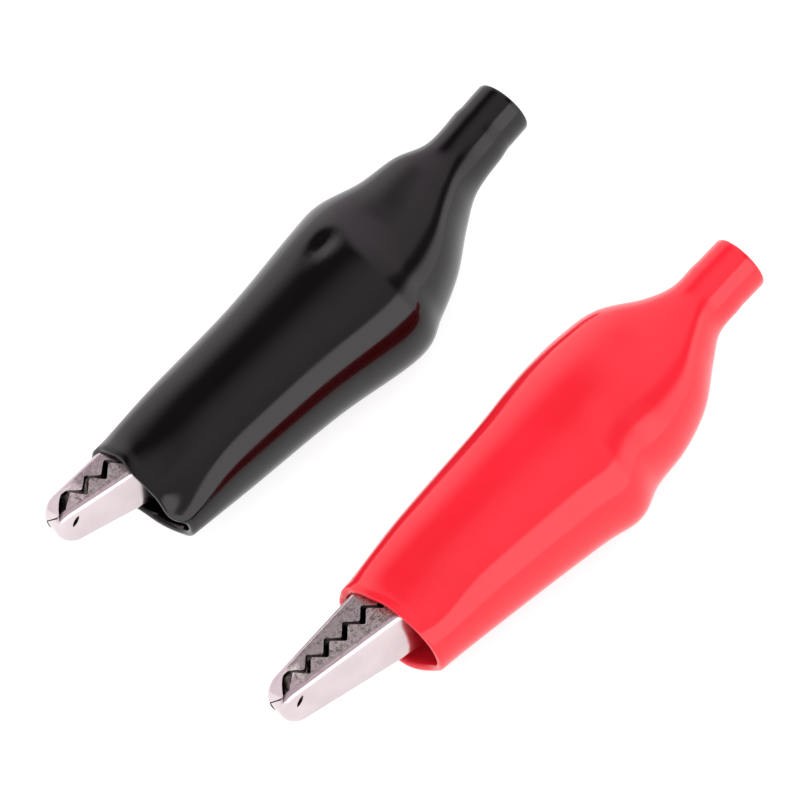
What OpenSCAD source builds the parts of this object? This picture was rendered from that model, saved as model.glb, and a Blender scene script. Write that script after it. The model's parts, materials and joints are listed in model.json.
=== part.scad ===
// A matched pair of insulated alligator clips, one red and one black.
// Each clip lies on its side: its hinge pin stands along Z and its jaws point along +X.
// Inside a clip's own frame the hinge pin is at the origin, X follows the closing line of
// the teeth towards the tips, and the moving jaw is on the +Y side.

/* [Jaws] */
// Distance from the hinge pin to the tips of the jaws
jaw_len = 16.9; // [16:0.1:18]
// Distance of each jaw's outer face from the closing line at the tip
tip_rise = 1; // [0.95:0.05:1.2]
// How much that distance grows for each millimetre behind the tip
jaw_taper = 0.115; // [0.1:0.005:0.13]
// Half width of a jaw at the tip
tip_half_w = 1.5; // [1.4:0.05:1.6]
// How much the half width grows for each millimetre behind the tip
width_taper = 0.065; // [0.05:0.005:0.07]
// Thickness of the nickel plated sheet steel
sheet = 0.4; // [0.35:0.05:0.5]

/* [Teeth] */
// Distance from one tooth to the next
tooth_pitch = 1.64; // [1.5:0.02:1.8]
// Height of a tooth
tooth_h = 0.84; // [0.7:0.02:0.9]
// Number of teeth along each side of a jaw
tooth_count = 6; // [4:1:6]
// Distance from the tip to the first tooth of the wire jaw
first_tooth = 3.18; // [3:0.02:3.4]
// Gap between the two rows of teeth when the clip is closed
tooth_gap = 0.4; // [0.3:0.02:0.5]

/* [Levers] */
// Distance from the hinge pin to the end of the wire lever
wire_lever_len = 17.2; // [16:0.2:17.4]
// Distance from the hinge pin to the end of the thumb lever
thumb_lever_len = 11; // [9:0.2:11]
// Distance of the wire lever's end from the closing line
wire_lever_rise = 6.1; // [5.8:0.1:6.4]
// Distance of the thumb lever's end from the closing line
thumb_lever_rise = 4.4; // [4.2:0.1:4.6]

/* [Hinge] */
// Radius of the rivet that joins the jaws
pin_r = 0.8; // [0.6:0.05:0.9]
// Radius of the rounded hinge ears
ear_r = 2.1; // [1.9:0.05:2.2]
// Half width over the outer ears, which belong to the wire jaw
ear_half_w = 2.55; // [2.5:0.05:2.7]
// Gap between an inner ear and the outer ear beside it
ear_gap = 0.1; // [0.06:0.02:0.14]
// Radial clearance of the rivet in the moving jaw's ears
pin_clearance = 0.05; // [0.03:0.01:0.08]

/* [Spring] */
// Diameter of the spring wire
wire_d = 0.5; // [0.4:0.05:0.55]
// Radius of the coil, measured to the middle of the wire
coil_r = 1.3; // [1.2:0.05:1.4]
// Number of whole turns in the coil
coil_turns = 4; // [3:1:4]
// Length of each leg behind the coil
leg_len = 6; // [4:0.5:7]

/* [Terminal screw] */
// Radius of the screw's thread
screw_r = 1; // [0.8:0.05:1.1]
// Radius of the screw's head
screw_head_r = 1.7; // [1.4:0.1:1.9]
// Distance of the screw behind the hinge pin
screw_back = 12.2; // [11:0.2:13]

/* [Boots] */
// Thickness of the vinyl
boot_wall = 0.4; // [0.35:0.05:0.5]
// Radius of the hole for the lead's wire
wire_hole_r = 1.6; // [1.3:0.05:1.6]
// Length of the straight end of the tube around the wire
wire_tube_len = 2.6; // [2:0.2:4]

/* [Pair] */
// Distance between the two hinge pins, across the clips
pair_spacing = 22; // [20:0.5:30]
// How far the red clip lies ahead of the black one
pair_stagger = 1; // [0:0.5:3]

/* [Hidden] */

$fn = 48;

// Angle from each clip's closing line to the middle line of its boot
RED_TURN = 5.8;
BLACK_TURN = 10.4;

// Sections of each boot, square to its middle line: place along the line from the hinge pin,
// low edge and high edge across the clip, and half thickness. They run from the mouth to the
// wire tube, over the bulges that the two levers push out.
RED_BOOT = [
    [7.8, -4.0, 4.7, 3.3],
    [1.6, -4.7, 5.3, 3.8],
    [-6.6, -5.35, 6.4, 4.4],
    [-9.8, -5.75, 7.1, 4.7],
    [-12.4, -6.0, 6.1, 4.6],
    [-15.4, -6.15, 5.6, 4.3],
    [-18.4, -5.7, 4.4, 3.7],
    [-21.2, -3.8, 2.4, 2.8],
    [-23.4, -3.1, 1.1, 2.2],
    [-25.6, -3.2, 0.9, 2.05]];
BLACK_BOOT = [
    [10.9, -4.1, 4.9, 3.25],
    [5.8, -4.3, 5.4, 3.65],
    [-2.4, -4.45, 6.1, 4.1],
    [-9.2, -5.05, 7.3, 4.7],
    [-12.2, -5.25, 6.1, 4.5],
    [-15.2, -4.3, 4.6, 3.9],
    [-18.2, -3.85, 2.5, 3.1],
    [-20.6, -3.1, 1.2, 2.35],
    [-23.3, -3.6, 0.75, 2.15]];
RED_TAIL_BEND = 2;
BLACK_TAIL_BEND = 5;
BOOT_SIDES = 28;
BOOT_STEPS = 3;

// How deep the round end of the boot's wire tube starts inside the last section
TUBE_ROOT = 0.3;

// The whole pair is centred over the origin and rests on Z = 0
axis_z = RED_BOOT[3][3];
RED_TUBE_END = tube_end(RED_BOOT, RED_TAIL_BEND);
mid_x = (jaw_len * cos(RED_TURN) + RED_TUBE_END[0]) / 2;
mid_y = (RED_BOOT[3][2] - pair_spacing + BLACK_BOOT[4][1]) / 2;
RED_PLACE = [-mid_x, -mid_y, axis_z];
BLACK_PLACE = [-mid_x - pair_stagger, -mid_y - pair_spacing, axis_z];

// Teeth of the wire jaw, from the closing line: the depth of the roots, and the last tooth, which
// the nose carries
root_depth = 0.57;
nose_tooth_x = jaw_len - 0.55;
nose_tooth_y = 0.5;
// Least height of the moving jaw's nose beside that tooth
nose_least = 0.25;
// Bevel between the nose and each jaw's outer face
toe_len = 0.5;
toe_h = 0.4;

// Plan sizes: the jaws widen from the teeth to the ears, and the levers narrow again
nose_r = tip_half_w;
ear_front = 3.4;
flare_front = 4.9;
inner_ear_half_w = ear_half_w - sheet - ear_gap;
cradle_front = -14;
cradle_neck = -15.2;
cradle_half_w = 1.6;
thumb_neck = -4.6;
thumb_pad_front = -7;
thumb_pad_half_w = 2.2;
thumb_end_half_w = 1.9;

// Side walls of the levers, as place and height over the lever's outer face
WIRE_LEVER_WALL = [[-6.5, 1.1], [-14.2, 1.2], [-wire_lever_len, 0.9]];
THUMB_LEVER_WALL = [[-5.5, 1.3], [-thumb_lever_len + 0.6, 1]];

// Blanks that the jaws are cut from, larger than a jaw in each direction
BLANK_W = 8;
BLANK_H = 24;
HOLLOW_DEPTH = 3;

function rise(x) = tip_rise + jaw_taper * (jaw_len - x);
function half_w(x) = tip_half_w + width_taper * (jaw_len - x);
function mirrored_y(points) = [for (p = points) [p[0], -p[1]]];

// Outer face of each lever, at a place behind the hinge pin
function wire_lever_y(x) = -rise(0) + (wire_lever_rise - rise(0)) / wire_lever_len * x;
function thumb_lever_y(x) = rise(0) - (thumb_lever_rise - rise(0)) / thumb_lever_len * x;

// Tooth edge of the wire jaw, from the nose back to the last root
function tooth_edge() =
    let (first = jaw_len - first_tooth, last_root = first - (tooth_count - 0.5) * tooth_pitch)
    concat(
        [[jaw_len, -root_depth], [nose_tooth_x, nose_tooth_y]],
        [for (i = [0 : tooth_count - 1]) let (x = first - i * tooth_pitch)
            each [[x + tooth_pitch / 2, -root_depth], [x, tooth_h - root_depth]]],
        [[last_root, -root_depth]]);

// Round top of the wire jaw's hinge ear, from its front to its back
function ear_arc() = [for (a = [-20 : 10 : 200]) ear_r * [cos(a), sin(a)]];

// Side view of the wire jaw: toothed nose, hinge ear, lever and wire cradle
module wire_jaw_side() {
    lever_wall = [for (w = WIRE_LEVER_WALL) [w[0], wire_lever_y(w[0]) + w[1]]];
    difference() {
        polygon(concat(tooth_edge(), ear_arc(), lever_wall, [
            [-wire_lever_len, -wire_lever_rise],
            [0, -rise(0)],
            [jaw_len - toe_len, -rise(jaw_len - toe_len)],
            [jaw_len, -rise(jaw_len) + toe_h]]));
        circle(r = pin_r);
    }
}

// Side view of the moving jaw: toothed nose, hinge ear and thumb lever
module moving_jaw_side() {
    teeth = [for (p = tooth_edge()) [p[0], min(p[1] + tooth_gap, rise(p[0]) - nose_least)]];
    lever_wall = [for (w = THUMB_LEVER_WALL) [w[0], thumb_lever_y(w[0]) - w[1]]];
    difference() {
        polygon(concat(teeth, mirrored_y(ear_arc()), lever_wall, [
            [-thumb_lever_len, thumb_lever_rise],
            [0, rise(0)],
            [jaw_len - toe_len, rise(jaw_len - toe_len)],
            [jaw_len, rise(jaw_len) - toe_h]]));
        circle(r = pin_r + pin_clearance);
    }
}

// The hollow of each channel, seen from the side and open past the lever's end
module wire_jaw_hollow_side() {
    front = jaw_len - sheet;
    back = -wire_lever_len - 1;
    polygon([
        [front, HOLLOW_DEPTH],
        [front, -rise(jaw_len) + sheet],
        [0, -rise(0) + sheet],
        [back, wire_lever_y(back) + sheet],
        [back, HOLLOW_DEPTH]]);
}
module moving_jaw_hollow_side() {
    front = jaw_len - sheet;
    back = -thumb_lever_len - 1;
    polygon([
        [front, -HOLLOW_DEPTH],
        [front, rise(jaw_len) - sheet],
        [0, rise(0) - sheet],
        [back, thumb_lever_y(back) - sheet],
        [back, -HOLLOW_DEPTH]]);
}

// Half outlines in plan, as X and half width, from the tip to the lever's end
function wire_jaw_plan(inset) = [
    [jaw_len - nose_r, half_w(jaw_len) - inset],
    [flare_front, half_w(flare_front) - inset],
    [ear_front, ear_half_w - inset],
    [cradle_front, ear_half_w - inset],
    [cradle_neck, cradle_half_w - inset],
    [-wire_lever_len - inset * 2, cradle_half_w - inset]];
function moving_jaw_plan(inset) = [
    [jaw_len - nose_r, half_w(jaw_len) - inset],
    [flare_front, half_w(flare_front) - inset],
    [ear_front, inner_ear_half_w - inset],
    [thumb_neck, inner_ear_half_w - inset],
    [thumb_pad_front, thumb_pad_half_w - inset],
    [-thumb_lever_len - inset * 2, thumb_end_half_w - inset]];

// Plan outline with a rounded nose, raised along Y through the whole jaw
module plan_block(half, inset) {
    reversed = [for (i = [len(half) - 1 : -1 : 0]) [half[i][0], -half[i][1]]];
    rotate([90, 0, 0]) linear_extrude(BLANK_H, center = true) {
        polygon(concat(half, reversed));
        translate([jaw_len - nose_r, 0]) circle(r = nose_r - inset);
    }
}

// A side view, raised along Z through the whole jaw
module side_block() {
    linear_extrude(BLANK_W, center = true) children();
}

module fixed_jaw() {
    color([0.78, 0.76, 0.75]) difference() {
        intersection() {
            side_block() wire_jaw_side();
            plan_block(wire_jaw_plan(0), 0);
        }
        intersection() {
            side_block() wire_jaw_hollow_side();
            plan_block(wire_jaw_plan(sheet), sheet);
        }
        at_screw() cylinder(r = screw_r, h = 4, center = true);
    }
}

module moving_jaw() {
    color([0.82, 0.8, 0.79]) difference() {
        intersection() {
            side_block() moving_jaw_side();
            plan_block(moving_jaw_plan(0), 0);
        }
        intersection() {
            side_block() moving_jaw_hollow_side();
            plan_block(moving_jaw_plan(sheet), sheet);
        }
    }
}

// Rivet through both pairs of ears, with a head outside each outer ear
module hinge_pin() {
    head_t = 0.35;
    head_r = 1.5 * pin_r;
    color([0.7, 0.69, 0.68]) {
        cylinder(r = pin_r, h = 2 * ear_half_w, center = true);
        for (side = [-1, 1])
            translate([0, 0, side * (ear_half_w + head_t / 2)])
                cylinder(r = head_r, h = head_t, center = true);
    }
}

// Centre line of the spring: a leg along the wire lever, the coil, a leg along the thumb lever
COIL_STEPS = 16;
LEG_ANGLE_WIRE = 194;
LEG_ANGLE_THUMB = 168;
coil_pitch = wire_d + 0.03;
function spring_line() =
    let (sweep = 360 * coil_turns + LEG_ANGLE_THUMB - LEG_ANGLE_WIRE + 180,
         steps = ceil(sweep / 360 * COIL_STEPS),
         start = LEG_ANGLE_WIRE + 90,
         low = -coil_pitch * sweep / 720,
         coil = [for (i = [0 : steps]) let (a = start + sweep * i / steps)
             [coil_r * cos(a), coil_r * sin(a), low + coil_pitch * sweep / 360 * i / steps]],
         leg_a = leg_len * [cos(LEG_ANGLE_WIRE), sin(LEG_ANGLE_WIRE), 0],
         leg_b = leg_len * [cos(LEG_ANGLE_THUMB), sin(LEG_ANGLE_THUMB), 0])
    concat([coil[0] + leg_a], coil, [coil[steps] + leg_b]);

// Tube of many-sided rings along a line that turns about Z
module swept_wire(line, r, sides) {
    last = len(line) - 1;
    function unit(v) = v / norm(v);
    rings = [for (i = [0 : last])
        let (ahead = unit(line[min(i + 1, last)] - line[max(i - 1, 0)]),
             across = unit(cross(ahead, [0, 0, 1])),
             up = cross(across, ahead))
        for (k = [0 : sides - 1])
            line[i] + r * (cos(360 * k / sides) * across + sin(360 * k / sides) * up)];
    walls = [for (i = [0 : last - 1], k = [0 : sides - 1])
        let (a = i * sides + k, b = i * sides + (k + 1) % sides)
        each [[a, b, b + sides], [a, b + sides, a + sides]]];
    ends = [[for (k = [sides - 1 : -1 : 0]) k], [for (k = [0 : sides - 1]) last * sides + k]];
    polyhedron(points = rings, faces = concat(walls, ends), convexity = 8);
}

module spring() {
    color([0.66, 0.66, 0.67]) swept_wire(spring_line(), wire_d / 2, 6);
}

// Moves to the terminal screw's axis, square to the wire lever and standing on its floor
module at_screw() {
    lean = atan((wire_lever_rise - rise(0)) / wire_lever_len);
    floor_y = wire_lever_y(-screw_back) + sheet;
    translate([-screw_back, floor_y, 0]) rotate([0, 0, lean]) rotate([-90, 0, 0]) children();
}

// Slotted screw in the wire lever, with its head just clear of the lever's floor
module terminal_screw() {
    head_t = 0.8;
    head_gap = 0.02;
    shank_len = 1;
    slot_w = 0.4;
    color([0.75, 0.72, 0.66]) at_screw() difference() {
        union() {
            translate([0, 0, -shank_len]) cylinder(r = screw_r, h = shank_len + head_t / 2);
            translate([0, 0, head_gap]) cylinder(r = screw_head_r, h = head_t);
        }
        translate([0, 0, head_t + head_gap])
            cube([slot_w, 2 * screw_head_r + 1, head_t], center = true);
    }
}

// Smooth curve through a boot's sections, with BOOT_STEPS rings from one to the next
function eased(a, b, c, d, t) =
    b + t / 2 * (c - a + t * (2 * a - 5 * b + 4 * c - d + t * (3 * (b - c) + d - a)));
function boot_rings(sections) =
    let (last = len(sections) - 1)
    [for (i = [0 : last], k = [0 : i == last ? 0 : BOOT_STEPS - 1])
        eased(sections[max(i - 1, 0)], sections[i], sections[min(i + 1, last)],
              sections[min(i + 2, last)], k / BOOT_STEPS)];

// Closed oval body through rings of [x, low, high, half thickness], pulled in by inset
module oval_body(rings, inset) {
    n = len(rings);
    flat_side = 3;
    round_side = 2.2;
    function oval(v, squareness) = sign(v) * pow(abs(v), 2 / squareness);
    points = [for (ring = rings, k = [0 : BOOT_SIDES - 1])
        let (angle = 360 * k / BOOT_SIDES, centre = (ring[1] + ring[2]) / 2,
             squareness = cos(angle) < 0 ? flat_side : round_side)
        [ring[0], centre + ((ring[2] - ring[1]) / 2 - inset) * oval(cos(angle), squareness),
         (ring[3] - inset) * oval(sin(angle), squareness)]];
    walls = [for (i = [0 : n - 2], k = [0 : BOOT_SIDES - 1])
        let (a = i * BOOT_SIDES + k, b = i * BOOT_SIDES + (k + 1) % BOOT_SIDES)
        each [[a, b, b + BOOT_SIDES], [a, b + BOOT_SIDES, a + BOOT_SIDES]]];
    ends = [[for (k = [BOOT_SIDES - 1 : -1 : 0]) k],
            [for (k = [0 : BOOT_SIDES - 1]) (n - 1) * BOOT_SIDES + k]];
    polyhedron(points = points, faces = concat(walls, ends), convexity = 6);
}

// Where the wire tube starts, and where it ends, for a tube bent by an angle
function tube_start(sections) =
    let (s = sections[len(sections) - 1]) [s[0] + TUBE_ROOT, (s[1] + s[2]) / 2];
function tube_end(sections, bend) =
    tube_start(sections) - (wire_tube_len + TUBE_ROOT) * [cos(bend), sin(bend)];

// Hollow vinyl boot: open mouth at the jaws, round tube for the wire at the tail
module boot(sections, bend, tone) {
    past_end = 1;
    rings = boot_rings(sections);
    mouth = rings[0];
    beyond_mouth = [mouth[0] + past_end, mouth[1], mouth[2], mouth[3]];
    tube = tube_start(sections);
    tube_len = wire_tube_len + TUBE_ROOT;
    color(tone) difference() {
        union() {
            oval_body(rings, 0);
            translate([tube[0], tube[1], 0]) rotate([0, -90, bend])
                cylinder(r = wire_hole_r + boot_wall, h = tube_len);
        }
        oval_body(concat([beyond_mouth], rings), boot_wall);
        translate([tube[0], tube[1], 0]) rotate([0, -90, bend])
            translate([0, 0, -past_end]) cylinder(r = wire_hole_r, h = tube_len + 2 * past_end);
    }
}

// Places of the two clips; a boot turns with its own middle line, which lies along X
module in_red(turn = RED_TURN) {
    translate(RED_PLACE) rotate([0, 0, -turn]) children();
}
module in_black(turn = BLACK_TURN) {
    translate(BLACK_PLACE) rotate([0, 0, -turn]) children();
}

module red_boot() { in_red(0) boot(RED_BOOT, RED_TAIL_BEND, [0.93, 0.1, 0.15]); }
module black_boot() { in_black(0) boot(BLACK_BOOT, BLACK_TAIL_BEND, [0.08, 0.08, 0.09]); }

red_boot();
in_red() fixed_jaw();  // red_fixed_jaw
in_red() moving_jaw();  // red_moving_jaw
in_red() hinge_pin();  // red_hinge_pin
in_red() spring();  // red_spring
in_red() terminal_screw();  // red_terminal_screw
black_boot();
in_black() fixed_jaw();  // black_fixed_jaw
in_black() moving_jaw();  // black_moving_jaw
in_black() hinge_pin();  // black_hinge_pin
in_black() spring();  // black_spring
in_black() terminal_screw();  // black_terminal_screw
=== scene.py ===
"""Looks of the alligator clip pair: vinyl boots, toothed nickel jaws, rivets, springs and screws."""

import json
import math

import bmesh
import bpy
import numpy as np
from mathutils import Matrix, Vector


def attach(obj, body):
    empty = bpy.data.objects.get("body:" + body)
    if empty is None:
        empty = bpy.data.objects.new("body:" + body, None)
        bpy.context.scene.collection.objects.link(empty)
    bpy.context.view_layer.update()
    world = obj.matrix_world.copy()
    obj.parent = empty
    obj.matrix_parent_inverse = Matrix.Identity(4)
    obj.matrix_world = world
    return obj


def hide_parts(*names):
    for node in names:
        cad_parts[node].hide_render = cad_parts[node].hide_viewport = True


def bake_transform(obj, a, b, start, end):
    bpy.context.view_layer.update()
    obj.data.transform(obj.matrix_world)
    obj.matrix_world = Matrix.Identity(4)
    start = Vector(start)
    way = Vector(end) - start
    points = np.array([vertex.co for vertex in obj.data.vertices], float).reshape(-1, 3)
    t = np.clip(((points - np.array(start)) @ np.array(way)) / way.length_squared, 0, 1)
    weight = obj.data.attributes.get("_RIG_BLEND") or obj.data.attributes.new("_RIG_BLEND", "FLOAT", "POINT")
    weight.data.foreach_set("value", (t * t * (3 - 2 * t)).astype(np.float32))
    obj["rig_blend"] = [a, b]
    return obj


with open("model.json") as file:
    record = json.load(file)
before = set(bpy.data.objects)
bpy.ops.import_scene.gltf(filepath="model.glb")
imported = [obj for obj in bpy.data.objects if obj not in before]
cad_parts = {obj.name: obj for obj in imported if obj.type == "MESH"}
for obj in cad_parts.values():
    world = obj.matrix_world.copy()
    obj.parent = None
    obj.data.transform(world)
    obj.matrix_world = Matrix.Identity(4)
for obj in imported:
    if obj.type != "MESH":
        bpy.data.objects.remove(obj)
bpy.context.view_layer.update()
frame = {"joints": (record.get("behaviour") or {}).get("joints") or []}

MM = 0.001

# ---------------------------------------------------------------- the design's own sizes, in millimetres

# Jaws, in a clip's own frame: X from the hinge pin to the tips, Y across the closing line to the moving
# jaw, Z along the pin
JAW_LEN = 16.6
TIP_RISE = 1.05
JAW_TAPER = 0.115
TIP_HALF_W = 1.6
WIDTH_TAPER = 0.065
SHEET = 0.36
BEND_R = 0.48
NOSE_BEND_R = 0.55
NOSE_BACK_X = 15.2
NOSE_SQUARENESS = 2.1
TOOTH_PITCH = 1.64
TOOTH_TIP = 0.27
TOOTH_ROOT = -0.57
TOOTH_CRISP = 0.975
FIRST_TOOTH_X = 13.72
LAST_TOOTH_X = 5.52
TOOTH_GAP = 0.48
TOOTH_SLIP = -0.12
EAR_R = 2.1
OUTER_EAR_HALF_W = 2.55
INNER_EAR_HALF_W = 2.05
FLARE_FRONT = 4.9
FLARE_BACK = 3.4
WIRE_LEVER_LEN = 17.2
WIRE_LEVER_RISE = 6.1
CRADLE_HALF_W = 1.6
CRADLE_NECK_X = -15.2
CRADLE_FRONT_X = -14.0
THUMB_LEVER_LEN = 11.0
THUMB_LEVER_RISE = 4.4

# Rivet, spring and screw. COIL_SHARE is how far from its middle the coil still takes up the hinge's turn,
# and SCREW_SEAT is where the screw starts in the sheet, as a share of its thickness
PIN_R = 0.8
WIRE_D = 0.5
COIL_R = 1.3
COIL_TURNS = 4
COIL_SHARE = 0.9
LEG_LEN = 6.0
SCREW_BACK = 12.2
SCREW_R = 1.0
SCREW_HEAD_R = 1.7
SCREW_SEAT = 0.97

# Boots
WALL = 0.4
TUBE_LEN = 2.6
TUBE_R = 2.1
TUBE_OVERLAP = 0.3
TUBE_FROM = 0.9
TUBE_RINGS = 8

# Each boot: the clip's turn, the bend of its tail, and its sections from the mouth back, as place along
# the boot from the hinge pin, low edge, high edge and half thickness
BOOTS = {
    "red": {
        "turn": 5.8,
        "bend": 2.0,
        "sections": [
            (7.8, -4.1, 4.7, 3.3), (1.6, -4.9, 5.3, 3.8), (-6.6, -5.55, 6.4, 4.4),
            (-9.8, -5.95, 7.05, 4.7), (-12.4, -6.2, 6.1, 4.6), (-15.4, -6.3, 5.7, 4.3),
            (-18.4, -5.9, 4.6, 3.7), (-21.2, -3.95, 2.6, 2.8), (-23.2, -3.2, 1.3, 2.2),
            (-25.1, -3.25, 1.05, 2.12)],
    },
    "black": {
        "turn": 9.9,
        "bend": 5.0,
        "sections": [
            (10.9, -4.3, 4.9, 3.25), (5.8, -4.55, 5.4, 3.65), (-2.4, -4.7, 6.1, 4.1),
            (-9.2, -5.4, 7.2, 4.7), (-12.2, -5.65, 6.15, 4.5), (-15.2, -4.7, 4.7, 3.9),
            (-18.2, -4.3, 2.6, 3.1), (-20.6, -3.45, 1.25, 2.35), (-23.6, -3.75, 0.7, 2.15)],
    },
}
COLOURS = ("red", "black")


def pivot_of(colour):
    joint = next(j for j in frame["joints"] if j["name"] == colour + "_jaw_hinge")
    return Vector(joint["pos_m"])


def clip_matrix(colour):
    """From a clip's own millimetres, with the hinge pin at the origin, to the row frame."""
    turn = Matrix.Rotation(math.radians(-BOOTS[colour]["turn"]), 4, "Z")
    return Matrix.Translation(pivot_of(colour)) @ turn @ Matrix.Scale(MM, 4)


def boot_matrix(colour):
    return Matrix.Translation(pivot_of(colour)) @ Matrix.Scale(MM, 4)


# ---------------------------------------------------------------- small helpers

def smooth(edge0, edge1, value):
    t = np.clip((value - edge0) / (edge1 - edge0), 0.0, 1.0)
    return t * t * (3 - 2 * t)


def new_object(name, bm, matrix, sharp_deg=40.0):
    """A smooth shaded object from a bmesh in millimetres, placed by matrix."""
    bmesh.ops.recalc_face_normals(bm, faces=bm.faces)
    bm.transform(matrix)
    mesh = bpy.data.meshes.new(name)
    bm.to_mesh(mesh)
    bm.free()
    mesh.polygons.foreach_set("use_smooth", [True] * len(mesh.polygons))
    if sharp_deg is not None:
        mesh.set_sharp_from_angle(angle=math.radians(sharp_deg))
    obj = bpy.data.objects.new(name, mesh)
    bpy.context.scene.collection.objects.link(obj)
    return obj


def ring_strip(bm, ring_a, ring_b, closed=True):
    count = len(ring_a)
    for k in range(count if closed else count - 1):
        n = (k + 1) % count
        bm.faces.new((ring_a[k], ring_a[n], ring_b[n], ring_b[k]))


# ---------------------------------------------------------------- boots

BOOT_SIDES = 96
RINGS_PER_SECTION = 8
FLAT_SIDE = 2.35
ROUND_SIDE = 2.2


def eased(a, b, c, d, t):
    """Catmull-Rom curve from b to c."""
    return b + t / 2 * (c - a + t * (2 * a - 5 * b + 4 * c - d + t * (3 * (b - c) + d - a)))


def section_rings(sections):
    """The sections with smooth ones between them, still as place, low edge, high edge and half
    thickness."""
    rows = [np.array(s, float) for s in sections]
    last = len(rows) - 1
    rings = []
    for i in range(last):
        for k in range(RINGS_PER_SECTION):
            before = rows[max(i - 1, 0)]
            beyond = rows[min(i + 2, last)]
            rings.append(eased(before, rows[i], rows[i + 1], beyond, k / RINGS_PER_SECTION))
    rings.append(rows[last])
    return rings


def oval(value, squareness):
    """Sine or cosine bent towards a squarer outline, which is a true oval at 2."""
    return math.copysign(abs(value) ** (2 / squareness), value)


def boot_ring(ring, inset, tail):
    """Points round one section, from the high side over the top. tail is 1 where the boot has become
    the round tube."""
    x, low, high, half = ring
    points = []
    for k in range(BOOT_SIDES):
        angle = 2 * math.pi * k / BOOT_SIDES
        c, s = math.cos(angle), math.sin(angle)
        square = FLAT_SIDE if c < 0 else ROUND_SIDE
        square += (2.0 - square) * tail
        y = (low + high) / 2 + ((high - low) / 2 - inset) * oval(c, square)
        z = (half - inset) * oval(s, square)
        points.append(np.array((x, y, z)))
    return points


# How far the mouth's rim lies ahead of its section, by degrees from the high side over the top
RIM = {
    "red": [(0, -0.85), (85, -0.85), (108, -0.6), (135, -0.45), (160, -0.15), (180, 0.1), (225, 0.0),
            (270, -0.3), (315, -0.9), (360, -0.85)],
    "black": [(0, -0.5), (40, 0.15), (62, -0.05), (85, -0.15), (105, -0.5), (135, -0.45), (160, -0.1),
              (180, 0.1), (225, 0.0), (270, -0.2), (315, -0.5), (360, -0.5)],
}
# How far the rim is pushed down, by degrees from the high side over the top
PINCH = {
    "red": [(0, 0.0), (180, 0.0), (270, 0.25), (360, 0.0)],
    "black": [(0, 0.4), (40, 1.0), (70, 0.45), (100, 0.0), (180, 0.0), (225, -0.3), (270, -0.35),
              (330, 0.1), (360, 0.4)],
}
# How far the top of the mouth is pressed down onto the jaws, and how far its lip turns up again
MOUTH_PRESS = 0.55
LIP_FLARE = 0.4
# How far behind the mouth each of these starts, and where two of them are full, below 0 being ahead of it
RIM_REACH = 6.0
PRESS_REACH = 7.0
PRESS_FULL = 1.0
FLARE_REACH = 1.6
FLARE_FULL = -0.4
PINCH_REACH = 5.0
# How much thicker the vinyl is at its lip and how far the lip's rounding stands out, as shares of the
# wall, and how far back the thicker stretch reaches
LIP_EXTRA = 0.4
LIP_BULGE = 0.45
LIP_REACH = 1.5
# How far the tube reaches back into the last sections before these are round
TAIL_REACH = 6.0
TAIL_ROUND = 1.0


def smooth_table(table, x):
    """Value of a closed table, eased between its rows."""
    for (x0, y0), (x1, y1) in zip(table, table[1:]):
        if x0 <= x <= x1:
            return y0 + (y1 - y0) * float(smooth(x0, x1, x))
    return table[0][1]


def mouth_shape(colour, ring, points):
    """Carries the wavy rim of the mouth into the first few millimetres of the boot."""
    mouth_x = BOOTS[colour]["sections"][0][0]
    near = float(smooth(mouth_x - RIM_REACH, mouth_x, ring[0]))
    if near == 0:
        return points
    pressed = float(smooth(mouth_x - PRESS_REACH, mouth_x - PRESS_FULL, ring[0]))
    flared = float(smooth(mouth_x - FLARE_REACH, mouth_x - FLARE_FULL, ring[0]))
    pinched = float(smooth(mouth_x - PINCH_REACH, mouth_x, ring[0]))
    shaped = []
    for k, (x, y, z) in enumerate(points):
        degrees = 360 * k / len(points)
        ahead = near * smooth_table(RIM[colour], degrees)
        depth = z / ring[3]
        lift = max(depth, 0) ** 2 * (LIP_FLARE * flared - MOUTH_PRESS * pressed)
        down = pinched * smooth_table(PINCH[colour], degrees)
        shaped.append(np.array((x + ahead, y, z + lift - down)))
    return shaped


# Where the top of the boot drops behind the levers' bulge: the start, the bottom and the end of the
# hollow along the boot, and its depth
HOLLOW = {"red": (-11.5, -17.0, -24.5, 0.25), "black": (-9.6, -13.4, -22.5, 0.5)}
# Small dents in the top, as place along the boot, place across it, length, width and depth
DENTS = {"red": [], "black": [(-9.5, -0.9, 1.0, 0.75, 0.35)]}


def top_hollows(colour, ring, points):
    start, bottom, end, depth = HOLLOW[colour]
    fall = float(smooth(start, bottom, ring[0]) * smooth(end, bottom, ring[0])) * depth
    shaped = []
    for x, y, z in points:
        share = max(z / ring[3], 0) ** 2
        drop = fall
        for dent_x, dent_y, length, width, dent_depth in DENTS[colour]:
            reach = ((x - dent_x) / length) ** 2 + ((y - dent_y) / width) ** 2
            drop += dent_depth * math.exp(-reach)
        shaped.append(np.array((x, y, z - drop * share)))
    return shaped


def tube_ring(centre, bend, radius, angles):
    along = np.array((-math.cos(bend), -math.sin(bend), 0.0))
    across = np.array((along[1], -along[0], 0.0))
    return [centre + radius * (math.cos(a) * across + math.sin(a) * np.array((0, 0, 1.0)))
            for a in angles], along


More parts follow.
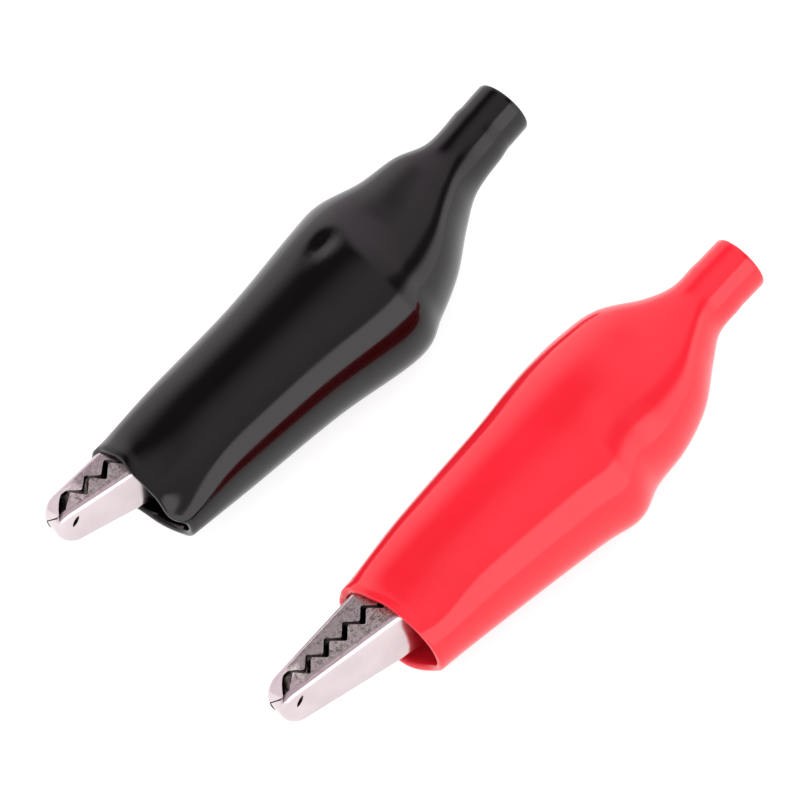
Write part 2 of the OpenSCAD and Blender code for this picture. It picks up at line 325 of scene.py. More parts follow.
def boot_layer(colour, inset):
    """All rings of one face of the vinyl, from the mouth to the end of the tail."""
    spec = BOOTS[colour]
    sections = spec["sections"]
    mouth_x = sections[0][0]
    tube_x = sections[-1][0]
    rings = []
    for ring in section_rings(sections):
        depth = inset * (1 + LIP_EXTRA * float(smooth(mouth_x - LIP_REACH, mouth_x, ring[0])))
        tail = float(smooth(tube_x + TAIL_REACH, tube_x + TAIL_ROUND, ring[0]))
        points = top_hollows(colour, ring, boot_ring(ring, depth, tail))
        rings.append(mouth_shape(colour, ring, points))
    bend = math.radians(spec["bend"])
    last = sections[-1]
    start = np.array((last[0] + TUBE_OVERLAP, (last[1] + last[2]) / 2, 0.0))
    angles = [2 * math.pi * k / BOOT_SIDES for k in range(BOOT_SIDES)]
    for step in np.linspace(TUBE_FROM, TUBE_LEN + TUBE_OVERLAP, TUBE_RINGS):
        ring, along = tube_ring(start, bend, TUBE_R - inset, angles)
        rings.append([p + along * step for p in ring])
    return rings


def rounded_lip(outer, inner, outwards, steps=4):
    """Rings that round the cut edge over from the outer face to the inner one."""
    rings = []
    for i in range(1, steps):
        turn = math.pi * i / steps
        share = (1 - math.cos(turn)) / 2
        bulge = math.sin(turn) * WALL * LIP_BULGE
        rings.append([a * (1 - share) + b * share + outwards * bulge for a, b in zip(outer, inner)])
    return rings


def build_boot(colour):
    outer = boot_layer(colour, 0.0)
    inner = boot_layer(colour, WALL)
    bend = math.radians(BOOTS[colour]["bend"])
    mouth_lip = rounded_lip(inner[0], outer[0], np.array((1.0, 0.0, 0.0)))
    tail_lip = rounded_lip(outer[-1], inner[-1], np.array((-math.cos(bend), -math.sin(bend), 0.0)))
    loop = mouth_lip + outer + tail_lip + inner[::-1]
    bm = bmesh.new()
    rings = [[bm.verts.new(p) for p in ring] for ring in loop]
    for i in range(len(rings)):
        ring_strip(bm, rings[i], rings[(i + 1) % len(rings)])
    return new_object(colour + "_boot_vinyl", bm, boot_matrix(colour), sharp_deg=None)


# The squeeze of the boot: the share of the way across, and the place along, where it starts and is full
SQUEEZE_ACROSS = (0.12, 0.8)
SQUEEZE_ALONG = (-24.0, -8.0)


def bend_boot(obj, colour):
    """The high side of the boot follows the moving jaw and its tail stays with the clip."""
    clip, jaw = colour + "_clip", colour + "_jaw"
    pivot = pivot_of(colour)
    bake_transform(obj, clip, jaw, start=pivot - Vector((0, 0.005, 0)), end=pivot + Vector((0, 0.005, 0)))
    co = np.zeros(len(obj.data.vertices) * 3)
    obj.data.vertices.foreach_get("co", co)
    co = (co.reshape(-1, 3) - np.array(pivot)) / MM
    rows = np.array(BOOTS[colour]["sections"])[::-1]
    low = np.interp(co[:, 0], rows[:, 0], rows[:, 1])
    high = np.interp(co[:, 0], rows[:, 0], rows[:, 2])
    across = smooth(*SQUEEZE_ACROSS, (co[:, 1] - low) / (high - low))
    along = smooth(*SQUEEZE_ALONG, co[:, 0])
    weights = (across * along).astype(np.float32)
    obj.data.attributes["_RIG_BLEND"].data.foreach_set("value", weights)


# ---------------------------------------------------------------- jaws

def tooth_wave(x):
    """Rounded zigzag of the tooth edge over the closing line."""
    phase = 2 * math.pi * (x - FIRST_TOOTH_X) / TOOTH_PITCH
    wave = math.asin(TOOTH_CRISP * math.cos(phase)) / math.asin(TOOTH_CRISP)
    middle = (TOOTH_TIP + TOOTH_ROOT) / 2
    return middle + (TOOTH_TIP - TOOTH_ROOT) / 2 * wave


def half_w(x):
    return TIP_HALF_W + WIDTH_TAPER * max(NOSE_BACK_X - x, 0.0)


def rise(x):
    return TIP_RISE + JAW_TAPER * (JAW_LEN - x)


def lerp_table(table, x):
    xs = [row[0] for row in table]
    ys = [row[1] for row in table]
    return float(np.interp(x, xs, ys))


# Place of the edge round the nose, towards the moving jaw, by degrees from the +Z side, 90 at its front
NOSE_EDGE = {
    "fixed": [(0, -0.31), (9, -0.02), (16, 0.2), (30, 0.62), (36, 0.66), (78, -0.5), (108, -0.75),
              (140, -0.4), (160, -0.35), (180, -0.57)],
    "moving": [(0, 0.5), (9, 0.78), (16, 0.93), (26, 0.93), (34, 0.8), (78, -0.38), (88, -0.1), (110, 0.4),
               (139, 0.3), (165, 0.2), (180, 0.1)],
}
# The last root before the nose, where its flank starts, and the moving jaw's tooth across from it
NOSE_ROOT_X = 14.94
NOSE_TIP_X = 14.5
FLANK_FROM_ROOT = 0.4
FLANK_STEP = 0.1
# Length over which the edge falls from the ear to the lever
EAR_FALL = 3.0


def jaw_spec(colour, kind):
    """What the fixed jaw and the moving jaw differ in. widths and walls hold half widths and wall
    heights by place along the lever."""
    fixed = kind == "fixed"
    lever_len = WIRE_LEVER_LEN if fixed else THUMB_LEVER_LEN
    lever_rise = WIRE_LEVER_RISE if fixed else THUMB_LEVER_RISE
    ear_half = OUTER_EAR_HALF_W if fixed else INNER_EAR_HALF_W
    if fixed:
        widths = [(-WIRE_LEVER_LEN, CRADLE_HALF_W), (CRADLE_NECK_X, CRADLE_HALF_W),
                  (CRADLE_FRONT_X, ear_half), (FLARE_BACK, ear_half), (FLARE_FRONT, half_w(FLARE_FRONT))]
        walls = [(-WIRE_LEVER_LEN, 0.9), (-14.6, 1.15), (-13.8, 1.2), (-6.5, 1.0 + SHEET)]
    else:
        widths = [(-THUMB_LEVER_LEN, 1.9), (-7.0, 2.2), (-4.6, ear_half),
                  (FLARE_BACK, ear_half), (FLARE_FRONT, half_w(FLARE_FRONT))]
        walls = [(-THUMB_LEVER_LEN, 0.7), (-10.4, 1.1), (-5.5, 1.3), (-3.4, 1.6)]
    return {"fixed": fixed, "lever_len": lever_len, "lever_rise": lever_rise,
            "widths": widths, "walls": walls, "sign": 1.0 if fixed else -1.0,
            "lean": WALL_LEAN[colour], "pitting": PITTING[colour][kind]}


def base_y(spec, x):
    """Height of the outer face of the base, with the base below the closing line."""
    if x >= 0:
        return -rise(x)
    slope = (spec["lever_rise"] - rise(0)) / spec["lever_len"]
    return -rise(0) + slope * x


def plan_half_width(spec, x):
    if x >= FLARE_FRONT:
        return half_w(x)
    return lerp_table(spec["widths"], x)


def front_edge(spec, x, side):
    """Height of the edge between the last tooth and the nose, which differs between the two walls."""
    end = NOSE_EDGE["fixed" if spec["fixed"] else "moving"][0 if side > 0 else -1][1]
    start_x = NOSE_ROOT_X if spec["fixed"] else NOSE_TIP_X
    start_y = TOOTH_ROOT if spec["fixed"] else TOOTH_ROOT + TOOTH_GAP + FLANK_STEP
    return spec["sign"] * float(np.interp(x, (start_x, NOSE_BACK_X), (start_y, end)))


def side_edge(spec, x, side):
    """Height of the side wall's free edge."""
    last_x = NOSE_ROOT_X - FLANK_FROM_ROOT if spec["fixed"] else NOSE_TIP_X
    if x > last_x:
        return front_edge(spec, x, side)
    teeth = tooth_wave(x) if spec["fixed"] else -(tooth_wave(x - TOOTH_SLIP) + TOOTH_GAP)
    root = TOOTH_ROOT if spec["fixed"] else -(TOOTH_TIP + TOOTH_GAP)
    last_root = LAST_TOOTH_X - TOOTH_PITCH / 2
    if x >= last_root:
        return teeth
    if x >= EAR_R:
        return root
    if x >= -EAR_R:
        return max(math.sqrt(EAR_R ** 2 - x ** 2), root)
    wall = lerp_table(spec["walls"], x)
    lever_edge = base_y(spec, x) + wall
    fall = float(smooth(-EAR_R, -EAR_R - EAR_FALL, x))
    return root * (1 - fall) + lever_edge * fall


NOSE_STEPS = 60


def nose_places(spec):
    """Plan outline round the nose, a squared half oval."""
    table = NOSE_EDGE["fixed" if spec["fixed"] else "moving"]
    length = JAW_LEN - NOSE_BACK_X
    places = []
    for deg in np.linspace(0, 180, NOSE_STEPS + 1):
        turn = math.radians(deg)
        front = oval(math.sin(turn), NOSE_SQUARENESS)
        side = oval(math.cos(turn), NOSE_SQUARENESS)
        normal = Vector((abs(math.sin(turn)) ** (2 - 2 / NOSE_SQUARENESS) / length,
                         oval(math.cos(turn), 1 / (1 - 1 / NOSE_SQUARENESS)) / TIP_HALF_W)).normalized()
        edge = lerp_table(table, deg) * spec["sign"]
        radius = BEND_R + (NOSE_BEND_R - BEND_R) * math.sin(turn) ** 2
        places.append((NOSE_BACK_X + length * front, TIP_HALF_W * side, normal.x, normal.y, edge, radius))
    return places


LEVER_STEP = 0.35
LEVER_TO = 3.0
TEETH_FROM = 3.1
STEPS_PER_TOOTH = 16
NOSE_GAP = 0.03


def outline(spec):
    """Plan outline from the back of the +Z wall round the nose to the back of the -Z wall, as
    (x, z, outward x, outward z, edge height, bend radius)."""
    back = -spec["lever_len"]
    lever = list(np.arange(back, LEVER_TO, LEVER_STEP))
    teeth = list(np.arange(TEETH_FROM, NOSE_BACK_X - NOSE_GAP, TOOTH_PITCH / STEPS_PER_TOOTH))

    def wall(side):
        places = []
        for x in lever + teeth:
            tilt = WIDTH_TAPER if x > FLARE_FRONT else 0.0
            width = plan_half_width(spec, x)
            places.append((x, side * width, tilt, side, side_edge(spec, x, side), BEND_R))
        return places

    return wall(1.0) + nose_places(spec) + wall(-1.0)[::-1]


WALL_STEPS = 9
ARC_STEPS = 6
BASE_STEPS = 6
# The least height of the wall over its bend
WALL_LEAST = 0.05
# How far the inside of the sheet goes towards the dark colour of its cut edges
INSIDE_DARKENING = 0.95
# Lean of the walls, whose bends have sprung open a little between the ears and the tip
WALL_LEAN = {"red": 0.05, "black": 0.11}
LEAN_FULL_X = 8.0
# Lean of the nose's flanks, and where it takes over
NOSE_LEAN = 0.26
NOSE_LEAN_FROM = 13.2
NOSE_LEAN_FULL = 14.6


def wall_lean(spec, x, nz):
    lean = spec["lean"] * float(smooth(FLARE_FRONT, LEAN_FULL_X, x))
    lean += (NOSE_LEAN - lean) * float(smooth(NOSE_LEAN_FROM, NOSE_LEAN_FULL, x))
    return lean * nz * nz


def shell_column(spec, place, depth):
    """One strip of the sheet: down the wall, round the bend and onto the base. depth is 0 on the
    outer face and SHEET on the inner one."""
    x, z, nx, nz, edge, radius = place
    floor = base_y(spec, x)
    radius = min(radius, max(edge - floor - WALL_LEAST, BEND_R))
    top = max(edge, floor + radius + WALL_LEAST)
    points = []
    lean = wall_lean(spec, x, nz)
    for i in range(WALL_STEPS):
        share = i / WALL_STEPS
        y = top * (1 - share) + (floor + radius) * share
        out = lean * (y - floor - radius)
        points.append((x - nx * depth, y, z - nz * depth + nz * out))
    for i in range(ARC_STEPS + 1):
        turn = math.pi / 2 * i / ARC_STEPS
        inset = radius - (radius - depth) * math.cos(turn)
        px = x - nx * inset
        y = base_y(spec, px) + radius - (radius - depth) * math.sin(turn)
        points.append((px, y, z - nz * inset))
    return points


# The relief cut in the moving jaw's nose: its two ends as (x, z), half its width, and the cutter's reach
SLOT_FROM = (14.86, 1.02)
SLOT_TO = (15.52, 0.26)
SLOT_HALF_W = 0.16
SLOT_SQUARENESS = 1.6
SLOT_INNER_Y = 0.55
SLOT_OUTER_Y = 2.2
SLOT_SIDES = 24


def slot_cutter(matrix):
    """A lens shaped prism through the base of the moving jaw's nose."""
    a, b = Vector(SLOT_FROM), Vector(SLOT_TO)
    along = b - a
    across = Vector((-along.y, along.x)).normalized()
    rim = []
    for k in range(SLOT_SIDES):
        turn = 2 * math.pi * k / SLOT_SIDES
        share = (1 - math.cos(turn)) / 2
        rim.append(a + along * share + across * SLOT_HALF_W * oval(math.sin(turn), SLOT_SQUARENESS))
    bm = bmesh.new()
    low = [bm.verts.new((p.x, SLOT_INNER_Y, p.y)) for p in rim]
    high = [bm.verts.new((p.x, SLOT_OUTER_Y, p.y)) for p in rim]
    ring_strip(bm, low, high)
    bm.faces.new(low[::-1])
    bm.faces.new(high)
    return new_object("slot_cutter", bm, matrix)


def cut_with(obj, cutter):
    """Takes the cutter's shape out of obj and removes the cutter."""
    cut = obj.modifiers.new("cut", "BOOLEAN")
    cut.operation = "DIFFERENCE"
    cut.object = cutter
    cut.solver = "EXACT"
    evaluated = obj.evaluated_get(bpy.context.evaluated_depsgraph_get())
    mesh = bpy.data.meshes.new_from_object(evaluated)
    obj.modifiers.clear()
    obj.data = mesh
    bpy.data.objects.remove(cutter)


# How deep the pits are in the walls of each jaw
PITTING = {"red": {"fixed": 0.8, "moving": 1.0}, "black": {"fixed": 0.35, "moving": 0.9}}
PITS_FADE_FROM = 14.2
PITS_END_X = 15.2
EDGE_ROUND = 0.05


def wall_share(spec, x, step):
    """Full on the toothed wall, 0 on the base and the nose, fading round the bends."""
    down = float(np.clip((WALL_STEPS + 2 - step) / 3, 0.0, 1.0))
    return spec["pitting"] * down * float(1 - smooth(PITS_FADE_FROM, PITS_END_X, x))


def base_row(bm, a, b):
    """Vertices across the base from a to b, or only a where the two are one."""
    if a is b:
        return [a]
    between = [bm.verts.new(a.co.lerp(b.co, k / BASE_STEPS)) for k in range(1, BASE_STEPS)]
    return [a] + between + [b]


def sheet_faces(bm, spec, depth):
    """One face of the bent sheet, as a grid of walls and bends plus the base between them. Returns the
    rows of vertices."""
    places = outline(spec)
    wall = bm.verts.layers.float["wall"]
    painted_burr_glint = bm.verts.layers.float["painted_burr_glint"]
    grid = []
    for place in places:
        column = [bm.verts.new(p) for p in shell_column(spec, place, depth)]
        for step, vert in enumerate(column):
            vert[wall] = wall_share(spec, place[0], step)
            # The top row of each wall carries the painted glint mask: lighter nickel where the teeth's burrs
            # catch light
            vert[painted_burr_glint] = vert[wall] if step == 0 else 0.0
        grid.append(column)
    for i in range(len(grid) - 1):
        ring_strip(bm, grid[i], grid[i + 1], closed=False)
    middle = (len(grid) - 1) // 2
    rows = [base_row(bm, grid[i][-1], grid[-1 - i][-1]) for i in range(middle + 1)]
    for i in range(middle):
        if len(rows[i + 1]) > 1:
            ring_strip(bm, rows[i], rows[i + 1], closed=False)
        else:
            for k in range(BASE_STEPS):
                bm.faces.new((rows[i][k], rows[i][k + 1], rows[i + 1][0]))
    return grid + rows


def jaw_mesh(spec):
    """The bent sheet: its outer face, its inner face and the cut edges between them."""
    bm = bmesh.new()
    bm.verts.layers.float.new("wall")
    bm.verts.layers.float.new("painted_burr_glint")
    cut = bm.faces.layers.float.new("cut_edge")
    outer_rows = sheet_faces(bm, spec, 0.0)
    outer_faces = list(bm.faces)
    inner_rows = sheet_faces(bm, spec, SHEET)
    outer_set = set(outer_faces)
    for face in bm.faces:
        if face not in outer_set:
            face[cut] = INSIDE_DARKENING
    pair = {}
    for outer_row, inner_row in zip(outer_rows, inner_rows):
        pair.update(zip(outer_row, inner_row))
    rim = [e for f in outer_faces for e in f.edges if len(e.link_faces) == 1]
    for edge in rim:
        a, b = edge.verts
        bm.faces.new((a, b, pair[b], pair[a]))[cut] = 1.0
    return bm


def build_jaw(colour, kind):
    spec = jaw_spec(colour, kind)
    bm = jaw_mesh(spec)
    if not spec["fixed"]:
        bm.transform(Matrix.Diagonal((1, -1, 1, 1)))
    name = colour + ("_fixed_jaw_plate" if spec["fixed"] else "_moving_jaw_plate")
    obj = new_object(name, bm, clip_matrix(colour), sharp_deg=38)
    if not spec["fixed"]:
        cut_with(obj, slot_cutter(clip_matrix(colour)))
    bevel = obj.modifiers.new("edge_round", "BEVEL")
    bevel.width = EDGE_ROUND * MM
    bevel.segments = 2
    bevel.limit_method = "ANGLE"
    bevel.angle_limit = math.radians(50)
    return obj


# ---------------------------------------------------------------- rivet, spring and screw

def lathe(name, profile, matrix, sides=48):
    """A turned solid: profile is (radius, height) from one end of the axis to the other."""
    bm = bmesh.new()
    rings = []
    for radius, height in profile[1:-1]:
        rings.append([bm.verts.new((radius * math.cos(2 * math.pi * k / sides),
                                    radius * math.sin(2 * math.pi * k / sides), height))
                      for k in range(sides)])
    for a, b in zip(rings, rings[1:]):
        ring_strip(bm, a, b)
    for (radius, height), ring in ((profile[0], rings[0]), (profile[-1], rings[-1])):
        centre = bm.verts.new((0, 0, height))
        for k in range(sides):
            bm.faces.new((ring[k], ring[(k + 1) % sides], centre))
    return new_object(name, bm, matrix, sharp_deg=35)


def build_rivet(colour):
    """Shaft through the ears with a domed head at each end."""
    head_r, head_t, rim_t = 1.5 * PIN_R, 0.35, 0.08
    half = OUTER_EAR_HALF_W
    dome = []
    for i in range(7):
        turn = math.pi / 2 * i / 6
        dome.append((head_r * math.cos(turn), half + rim_t + (head_t - rim_t) * math.sin(turn)))
    upper = [(PIN_R, half), (head_r, half)] + dome[:-1] + [(0.0, half + head_t)]
    lower = [(r, -h) for r, h in upper[::-1]]
    return lathe(colour + "_hinge_rivet", lower + upper, clip_matrix(colour))


def spring_points():
    """Centre line of the spring in the clip's frame, a leg, the coil and the other leg."""
    leg_wire, leg_thumb, steps_per_turn = 194.0, 168.0, 32
    pitch = WIRE_D + 0.03
    sweep = 360 * COIL_TURNS + leg_thumb - leg_wire + 180
    steps = math.ceil(sweep / 360 * steps_per_turn)
    start = leg_wire + 90
    low = -pitch * sweep / 720
    coil = []
    for i in range(steps + 1):
        a = math.radians(start + sweep * i / steps)
        height = low + pitch * sweep / 360 * i / steps
        coil.append(Vector((COIL_R * math.cos(a), COIL_R * math.sin(a), height)))

    def leg(angle, foot):
        along = Vector((math.cos(math.radians(angle)), math.sin(math.radians(angle)), 0))
        return [foot + along * LEG_LEN * k / 6 for k in range(1, 7)]

    return leg(leg_wire, coil[0])[::-1] + coil + leg(leg_thumb, coil[-1])


def build_spring(colour):
    line = spring_points()
    sides = 12
    bm = bmesh.new()
    rings = []
    for i, p in enumerate(line):
        ahead = (line[min(i + 1, len(line) - 1)] - line[max(i - 1, 0)]).normalized()
        across = ahead.cross(Vector((0, 0, 1))).normalized()
        up = across.cross(ahead)
        ring = []
        for k in range(sides):
            a = 2 * math.pi * k / sides
            ring.append(bm.verts.new(p + (across * math.cos(a) + up * math.sin(a)) * WIRE_D / 2))
        rings.append(ring)
    for a, b in zip(rings, rings[1:]):
        ring_strip(bm, a, b)
    bm.faces.new(rings[0][::-1])
    bm.faces.new(rings[-1])
    obj = new_object(colour + "_torsion_spring", bm, clip_matrix(colour), sharp_deg=50)
    pivot = pivot_of(colour)
    half = Vector((0, 0, COIL_SHARE * MM))
    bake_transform(obj, colour + "_clip", colour + "_jaw", start=pivot - half, end=pivot + half)
    return obj


def screw_matrix(colour):
    """The terminal screw's axis, square to the wire lever and standing on its floor."""
    slope = (WIRE_LEVER_RISE - rise(0)) / WIRE_LEVER_LEN
    floor_y = -rise(0) - slope * SCREW_BACK + SHEET * SCREW_SEAT
    place = Matrix.Translation((-SCREW_BACK, floor_y, 0))
    lean = Matrix.Rotation(math.atan(slope), 4, "Z")
    stand = Matrix.Rotation(-math.pi / 2, 4, "X")
    return clip_matrix(colour) @ place @ lean @ stand


def build_screw(colour):
    """Cheese head with a driver slot on a threaded shank."""
    head_t, below, pitch, slot_w, lift = 0.8, -1.0, 0.35, 0.4, 0.03
    crest, root = SCREW_R - 0.02, SCREW_R - 0.14
    top = head_t + lift
    profile = [(0.0, below), (SCREW_R - 0.2, below)]
    height = below + 0.05
    while height < 0:
        profile.append((crest, height))
        profile.append((root, height + pitch / 2))
        height += pitch
    profile += [(SCREW_R - 0.05, lift), (SCREW_HEAD_R, lift), (SCREW_HEAD_R, head_t - 0.12),
                (SCREW_HEAD_R - 0.05, head_t - 0.03), (SCREW_HEAD_R - 0.2, top), (0.0, top)]
    obj = lathe(colour + "_slotted_screw", profile, screw_matrix(colour))
    bm = bmesh.new()
    bmesh.ops.create_cube(bm, size=1.0)
    bm.transform(Matrix.Translation((0, 0, top)) @ Matrix.Diagonal((slot_w, 4.0, head_t, 1)))
    cut_with(obj, new_object("driver_cutter", bm, screw_matrix(colour)))
    return obj


# ---------------------------------------------------------------- materials

def node_material(name):
    material = bpy.data.materials.new(name)
    material.use_nodes = True
    tree = material.node_tree
    return material, tree, tree.nodes["Principled BSDF"]


def link(tree, a, output, b, socket):
    tree.links.new(a.outputs[output], b.inputs[socket])


def noise_node(tree, scale, detail=2.0, roughness=0.5):
    coords = tree.nodes.new("ShaderNodeTexCoord")
    node = tree.nodes.new("ShaderNodeTexNoise")
    node.inputs["Scale"].default_value = scale
    node.inputs["Detail"].default_value = detail
    node.inputs["Roughness"].default_value = roughness
    link(tree, coords, "Object", node, "Vector")
    return node


def ramp_node(tree, source, output, stops):
    ramp = tree.nodes.new("ShaderNodeValToRGB")
    while len(ramp.color_ramp.elements) < len(stops):
        ramp.color_ramp.elements.new(0.5)
    for element, (place, colour) in zip(ramp.color_ramp.elements, stops):
        element.position = place
        element.color = (*colour, 1.0)
    link(tree, source, output, ramp, "Fac")
    return ramp


def grey(value):
    return (value, value, value)


def vinyl(name, low, high, roughness, shine):
    """Glossy dip-moulded vinyl: a faint change of tone and a slight orange peel. shine is the specular
    level."""
    material, tree, shader = node_material(name)
    tone = noise_node(tree, 160.0, 3.0)
    colour = ramp_node(tree, tone, "Fac", [(0.3, low), (0.7, high)])
    link(tree, colour, "Color", shader, "Base Color")
    finish = noise_node(tree, 420.0, 2.0)
    rough = ramp_node(tree, finish, "Fac", [(0.3, grey(roughness * 0.85)), (0.7, grey(roughness * 1.2))])
    link(tree, rough, "Color", shader, "Roughness")
    peel = noise_node(tree, 240.0, 1.0)
    bump = tree.nodes.new("ShaderNodeBump")
    bump.inputs["Strength"].default_value = 0.1
    bump.inputs["Distance"].default_value = 0.00004
    link(tree, peel, "Fac", bump, "Height")
    link(tree, bump, "Normal", shader, "Normal")
    shader.inputs["IOR"].default_value = 1.5
    shader.inputs["Specular IOR Level"].default_value = shine
    return material


def blend_by(tree, factor, output, a, b):
    """Colour a where the factor is 0 and colour b where it is 1."""
    mix = tree.nodes.new("ShaderNodeMix")
    mix.data_type = "RGBA"
    link(tree, factor, output, mix, "Factor")
    tree.links.new(a, mix.inputs[6])
    tree.links.new(b, mix.inputs[7])
    return mix.outputs[2]


def plated_jaw():
    """Bright nickel plate on stamped steel: smooth on the base, pitted and speckled on the toothed
    walls, with painted glints as bright specks along the teeth's burrs, dull and dark on the sheared
    edges, and nearly as dark on the inside of the sheet."""
    material, tree, shader = node_material("bright_nickel")
    shader.inputs["Metallic"].default_value = 1.0
    masks = {}
    for name in ("wall", "painted_burr_glint", "cut_edge"):
        masks[name] = tree.nodes.new("ShaderNodeAttribute")
        masks[name].attribute_name = name
    speckle = noise_node(tree, 3000.0, 5.0, 0.8)
    cloud = noise_node(tree, 420.0, 2.0)
    smooth_plate = ramp_node(tree, cloud, "Fac", [(0.3, (0.60, 0.52, 0.54)), (0.7, (0.67, 0.59, 0.605))])
    pitted = ramp_node(tree, speckle, "Fac", [(0.38, (0.17, 0.145, 0.13)), (0.46, (0.61, 0.56, 0.52)),
                                              (0.54, (0.86, 0.8, 0.76)), (0.6, (1.0, 0.97, 0.94))])
    # Painted glints: bright specks of lighter nickel along the tooth edges, standing for light caught by
    # their burrs
    glint_dots = ramp_node(tree, speckle, "Fac", [(0.46, (0.5, 0.45, 0.44)), (0.54, (1.0, 0.98, 0.97))])
    sheared = ramp_node(tree, speckle, "Fac", [(0.4, (0.035, 0.025, 0.022)), (0.62, (0.14, 0.1, 0.09))])
    walls = blend_by(tree, masks["wall"], "Fac", smooth_plate.outputs["Color"], pitted.outputs["Color"])
    edges = blend_by(tree, masks["painted_burr_glint"], "Fac", walls, glint_dots.outputs["Color"])
    colour = blend_by(tree, masks["cut_edge"], "Fac", edges, sheared.outputs["Color"])
    tree.links.new(colour, shader.inputs["Base Color"])
    even = ramp_node(tree, cloud, "Fac", [(0.3, grey(0.13)), (0.7, grey(0.17))])
    uneven = ramp_node(tree, speckle, "Fac", [(0.38, grey(0.5)), (0.6, grey(0.3))])
    rough = blend_by(tree, masks["wall"], "Fac", even.outputs["Color"], uneven.outputs["Color"])
    tree.links.new(rough, shader.inputs["Roughness"])
    none = ramp_node(tree, speckle, "Fac", [(0.3, grey(0.48)), (0.7, grey(0.52))])
    height = blend_by(tree, masks["wall"], "Fac", none.outputs["Color"], speckle.outputs["Fac"])
    bump = tree.nodes.new("ShaderNodeBump")
    bump.inputs["Strength"].default_value = 0.5
    bump.inputs["Distance"].default_value = 0.00005
    tree.links.new(height, bump.inputs["Height"])
    link(tree, bump, "Normal", shader, "Normal")
    return material


def plated_metal(name, low, high, roughness):
    """Plated steel with fine speckles, for the small turned parts and the wire."""
    material, tree, shader = node_material(name)
    shader.inputs["Metallic"].default_value = 1.0
    speckle = noise_node(tree, 5200.0, 4.0, 0.7)
    colour = ramp_node(tree, speckle, "Fac", [(0.36, low), (0.6, high)])
    link(tree, colour, "Color", shader, "Base Color")
    patch = noise_node(tree, 1400.0, 3.0, 0.6)
    rough = ramp_node(tree, patch, "Fac", [(0.35, grey(roughness * 0.7)), (0.68, grey(roughness * 1.5))])
    link(tree, rough, "Color", shader, "Roughness")
    return material


def dress(obj, material):
    obj.data.materials.clear()
    obj.data.materials.append(material)


# ---------------------------------------------------------------- stage

# The camera's right and back and the side of the square that it sees, found from the photograph
VIEW_RIGHT = Vector((-0.690, 0.681, -0.246))
VIEW_BACK = Vector((0.264, 0.553, 0.790))
IMAGE_SIDE = 52.96 * MM
# The image's centre, seen from the red clip's hinge pin
CENTRE_RIGHT = -4.310 * MM
CENTRE_UP = 10.132 * MM
LENS = 1000.0
SENSOR = 36.0


def make_camera():
    back = VIEW_BACK.normalized()
    right = (VIEW_RIGHT - back * VIEW_RIGHT.dot(back)).normalized()
    up = back.cross(right)
    distance = IMAGE_SIDE * LENS / SENSOR
    centre = pivot_of("red") + right * CENTRE_RIGHT + up * CENTRE_UP
    data = bpy.data.cameras.new("camera")
    data.lens = LENS
    data.sensor_width = SENSOR
    data.clip_start = 0.01
    data.clip_end = 20
    camera = bpy.data.objects.new("camera", data)
    rotation = Matrix((right, up, back)).transposed().to_4x4()
    camera.matrix_world = Matrix.Translation(centre + back * distance) @ rotation
    bpy.context.scene.collection.objects.link(camera)
    bpy.context.scene.camera = camera


# What the studio shows in a mirror, by degrees round the clips' long axis from straight up towards +Y:
# a soft box and a pale wall on the -Y side, a dark gap, a box overhead and a brighter one on the +Y side.
# A row holds the place, the radiance and the share of the studio's faint pink tint.
BANDS = [(-180, 1.3, 0.6), (-100, 1.3, 0.6), (-88, 1.1, 0.6), (-62, 1.15, 0.6), (-53, 0.75, 1),
         (-44, 0.12, 1), (-31, 0.09, 1), (-25, 0.28, 1), (-17, 0.56, 1), (-6, 0.72, 1), (10, 0.76, 1),
         (30, 0.66, 1), (39, 0.56, 1), (43, 2.4, 0.5), (92, 2.4, 0.5), (99, 1.3, 0.8), (180, 1.3, 0.8)]
# The same for what lies towards the tails, where the overhead box reaches further round
BANDS_BEHIND = [(-180, 1.3, 0), (-90, 1.0, 1), (8, 0.82, 1), (15, 0.35, 1), (21, 0.14, 1), (36, 0.14, 1),
                (46, 1.1, 0.5), (54, 1.9, 0.5), (96, 1.9, 0.5), (108, 1.3, 0), (180, 1.3, 0)]
# How far along X a ray points where the second table starts to count and where it has taken over
BEHIND_FROM = -0.45
BEHIND_FULL = -0.60
TINT = (1.0, 0.87, 0.95)
# The radiance that a full ramp stands for, and the even radiance of the soft shading
PEAK = 3.0
EVEN_LIGHT = 1.5


def band_ramp(tree, source, bands):
    stops = []
    for degrees, radiance, tint in bands:
        colour = tuple(radiance / PEAK * (1 - tint + tint * part) for part in TINT)
        stops.append(((degrees + 180) / 360, colour))
    return ramp_node(tree, source, "Result", stops)


def map_range(tree, source, output, low, high):
    node = tree.nodes.new("ShaderNodeMapRange")
    link(tree, source, output, node, "Value")
    node.inputs["From Min"].default_value = low
    node.inputs["From Max"].default_value = high
    return node


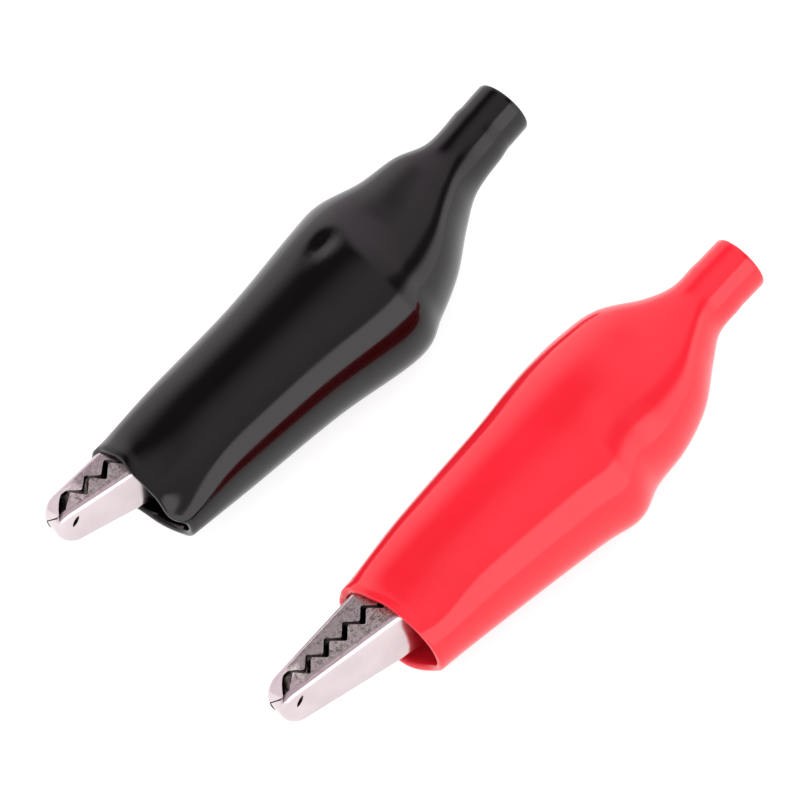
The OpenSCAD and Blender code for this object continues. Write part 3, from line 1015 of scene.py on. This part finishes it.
def make_world():
    """A pale studio with long soft boxes, and even light for the soft shading."""
    world = bpy.data.worlds.new("studio")
    bpy.context.scene.world = world
    world.use_nodes = True
    world.cycles.sampling_method = "NONE"
    tree = world.node_tree
    back = tree.nodes["Background"]
    coords = tree.nodes.new("ShaderNodeTexCoord")
    split = tree.nodes.new("ShaderNodeSeparateXYZ")
    link(tree, coords, "Generated", split, "Vector")
    angle = tree.nodes.new("ShaderNodeMath")
    angle.operation = "ARCTAN2"
    tree.links.new(split.outputs["Y"], angle.inputs[0])
    tree.links.new(split.outputs["Z"], angle.inputs[1])
    around = map_range(tree, angle, "Value", -math.pi, math.pi)
    behind = map_range(tree, split, "X", BEHIND_FROM, BEHIND_FULL)
    bands = band_ramp(tree, around, BANDS)
    bands_behind = band_ramp(tree, around, BANDS_BEHIND)
    seen = blend_by(tree, behind, "Result", bands.outputs["Color"], bands_behind.outputs["Color"])
    path = tree.nodes.new("ShaderNodeLightPath")
    mix = tree.nodes.new("ShaderNodeMix")
    mix.data_type = "RGBA"
    link(tree, path, "Is Glossy Ray", mix, "Factor")
    mix.inputs[6].default_value = (EVEN_LIGHT / PEAK, EVEN_LIGHT / PEAK, EVEN_LIGHT / PEAK, 1.0)
    tree.links.new(seen, mix.inputs[7])
    tree.links.new(mix.outputs[2], back.inputs["Color"])
    back.inputs["Strength"].default_value = PEAK


def make_floor():
    """A light table: pale, and lit evenly from below."""
    bm = bmesh.new()
    bmesh.ops.create_grid(bm, x_segments=8, y_segments=8, size=2000.0)
    floor = new_object("floor", bm, Matrix.Scale(MM, 4), sharp_deg=None)
    material, tree, shader = node_material("pale_floor")
    tone = noise_node(tree, 3.0)
    colour = ramp_node(tree, tone, "Fac", [(0.3, grey(0.36)), (0.7, grey(0.38))])
    link(tree, colour, "Color", shader, "Base Color")
    shader.inputs["Roughness"].default_value = 0.7
    shader.inputs["Specular IOR Level"].default_value = 0.2
    shader.inputs["Emission Color"].default_value = (1.0, 1.0, 1.0, 1.0)
    shader.inputs["Emission Strength"].default_value = 0.8
    floor.data.materials.append(material)


# ---------------------------------------------------------------- the scene

def build_clip(colour):
    clip_body = colour + "_clip"
    boot = build_boot(colour)
    bend_boot(boot, colour)
    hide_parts(colour + "_boot")
    dress(boot, VINYLS[colour])
    fixed = build_jaw(colour, "fixed")
    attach(fixed, clip_body)
    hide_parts(colour + "_fixed_jaw")
    dress(fixed, NICKEL)
    moving = build_jaw(colour, "moving")
    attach(moving, colour + "_jaw")
    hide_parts(colour + "_moving_jaw")
    dress(moving, NICKEL)
    rivet = build_rivet(colour)
    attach(rivet, clip_body)
    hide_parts(colour + "_hinge_pin")
    dress(rivet, RIVET)
    spring = build_spring(colour)
    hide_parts(colour + "_spring")
    dress(spring, SPRING_STEEL)
    screw = build_screw(colour)
    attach(screw, clip_body)
    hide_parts(colour + "_terminal_screw")
    dress(screw, ZINC)


make_camera()
make_world()
make_floor()
bpy.context.scene.view_settings.view_transform = "Standard"

VINYLS = {
    "red": vinyl("red_vinyl", (0.66, 0.009, 0.020), (0.72, 0.012, 0.027), 0.13, 0.5),
    "black": vinyl("black_vinyl", (0.0012, 0.0011, 0.0012), (0.002, 0.0018, 0.002), 0.12, 0.42),
}
NICKEL = plated_jaw()
RIVET = plated_metal("rivet_nickel", (0.6, 0.58, 0.57), (0.8, 0.78, 0.77), 0.3)
SPRING_STEEL = plated_metal("spring_steel", (0.45, 0.45, 0.46), (0.68, 0.68, 0.69), 0.28)
ZINC = plated_metal("zinc_plate", (0.55, 0.52, 0.46), (0.78, 0.75, 0.68), 0.32)

for clip_colour in COLOURS:
    build_clip(clip_colour)
